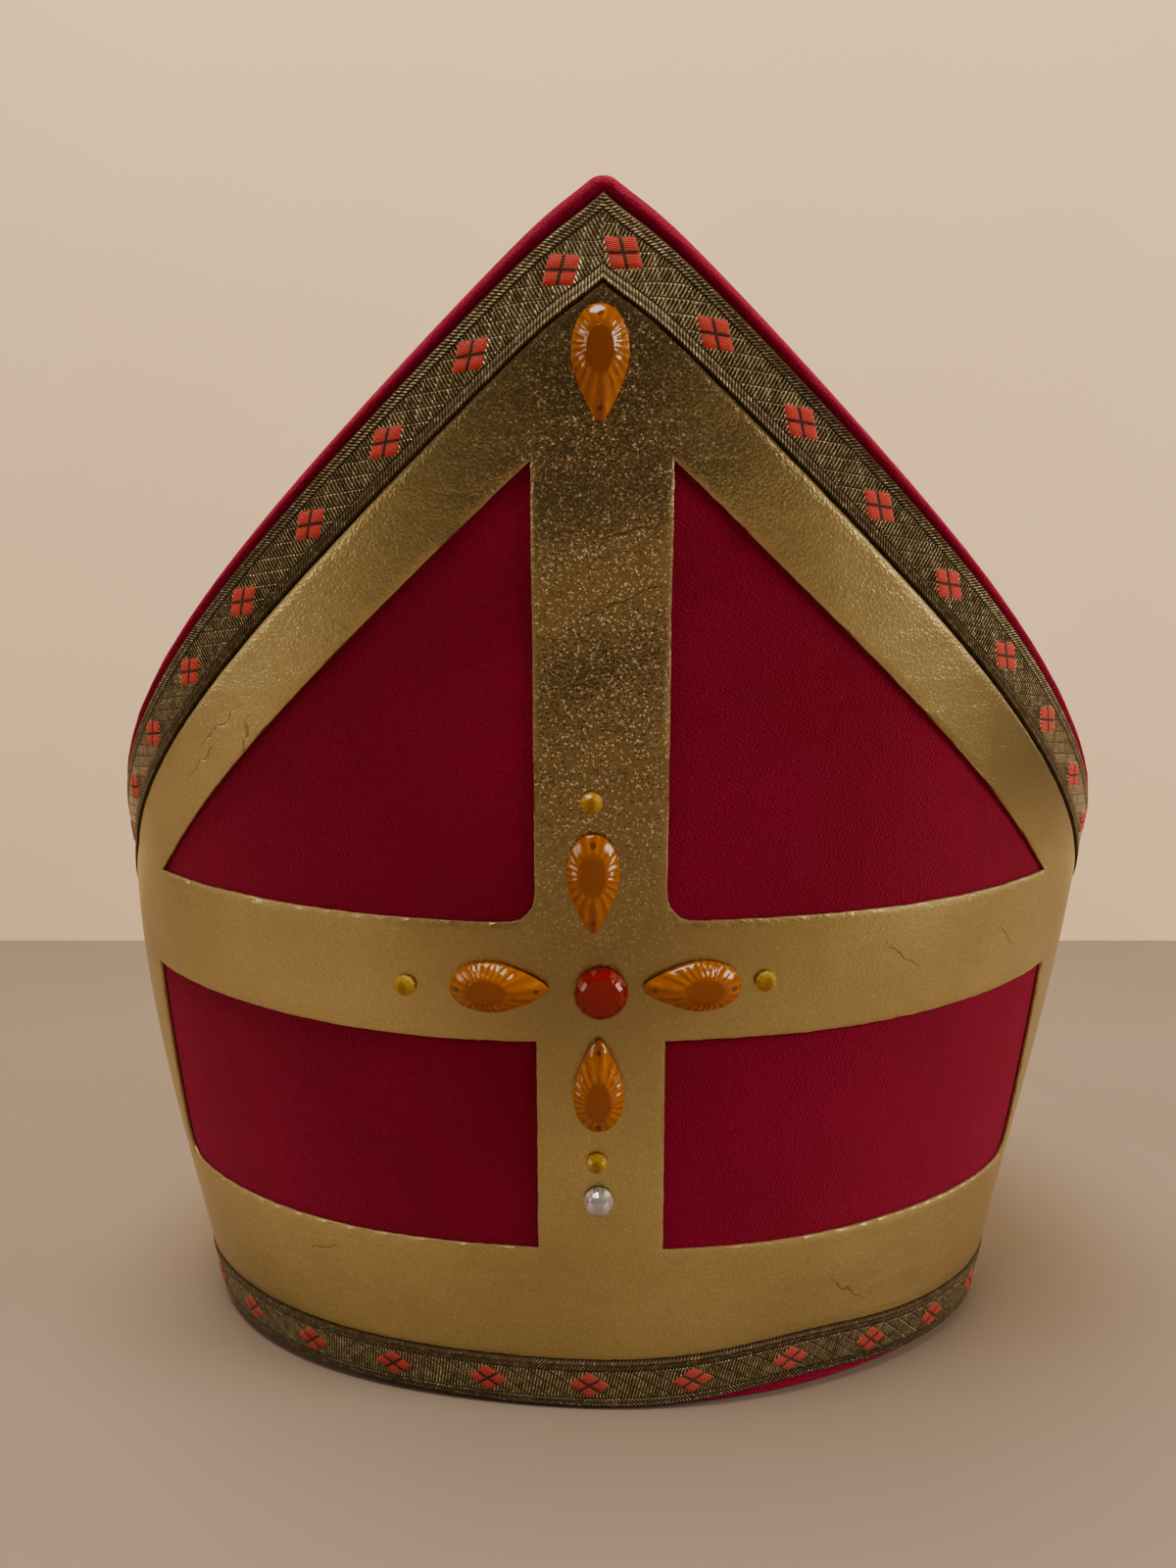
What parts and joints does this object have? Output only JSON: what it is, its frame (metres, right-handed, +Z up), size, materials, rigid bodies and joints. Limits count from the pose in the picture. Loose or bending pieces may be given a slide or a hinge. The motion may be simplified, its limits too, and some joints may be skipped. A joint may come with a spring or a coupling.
{
  "type": "bishop mitre",
  "caption": "Stiff two-peaked velvet bishop mitre with gold cross appliqués, woven braid edging and glued stones; open below to sit on a head.",
  "frame": {"origin": "middle of the hem, on the level that the hat rests on", "axes": "+Z up through the open crown, -Y towards the front with the stones, +X towards the wearer's left side"},
  "size_m": [0.2884, 0.2724, 0.2716],
  "materials": {
    "velvet": "deep crimson short-pile velvet",
    "gold_leatherette": "metallic gold foil on fine-grained leatherette, soft sheen",
    "woven_braid": "gold lurex jacquard braid with small red diamonds",
    "web_cloth": "plain red cotton",
    "amber_acrylic": "clear amber, cut and polished",
    "ruby_acrylic": "clear red, cut and polished",
    "pearl_coat": "silvery pearl"
  },
  "bodies": {
    "root": {"front_shell": "velvet", "back_shell": "velvet", "front_gold_cross": "gold_leatherette", "back_gold_cross": "gold_leatherette", "front_edge_braid": "woven_braid", "back_edge_braid": "woven_braid", "hem_braid": "woven_braid", "crown_web": "web_cloth", "top_pear_stone": "amber_acrylic", "upper_pear_stone": "amber_acrylic", "left_pear_stone": "amber_acrylic", "right_pear_stone": "amber_acrylic", "lower_pear_stone": "amber_acrylic", "centre_round_stone": "ruby_acrylic", "upper_small_stone": "amber_acrylic", "left_small_stone": "amber_acrylic", "right_small_stone": "amber_acrylic", "lower_small_stone": "amber_acrylic", "pearl": "pearl_coat"}
  },
  "joints": []
}
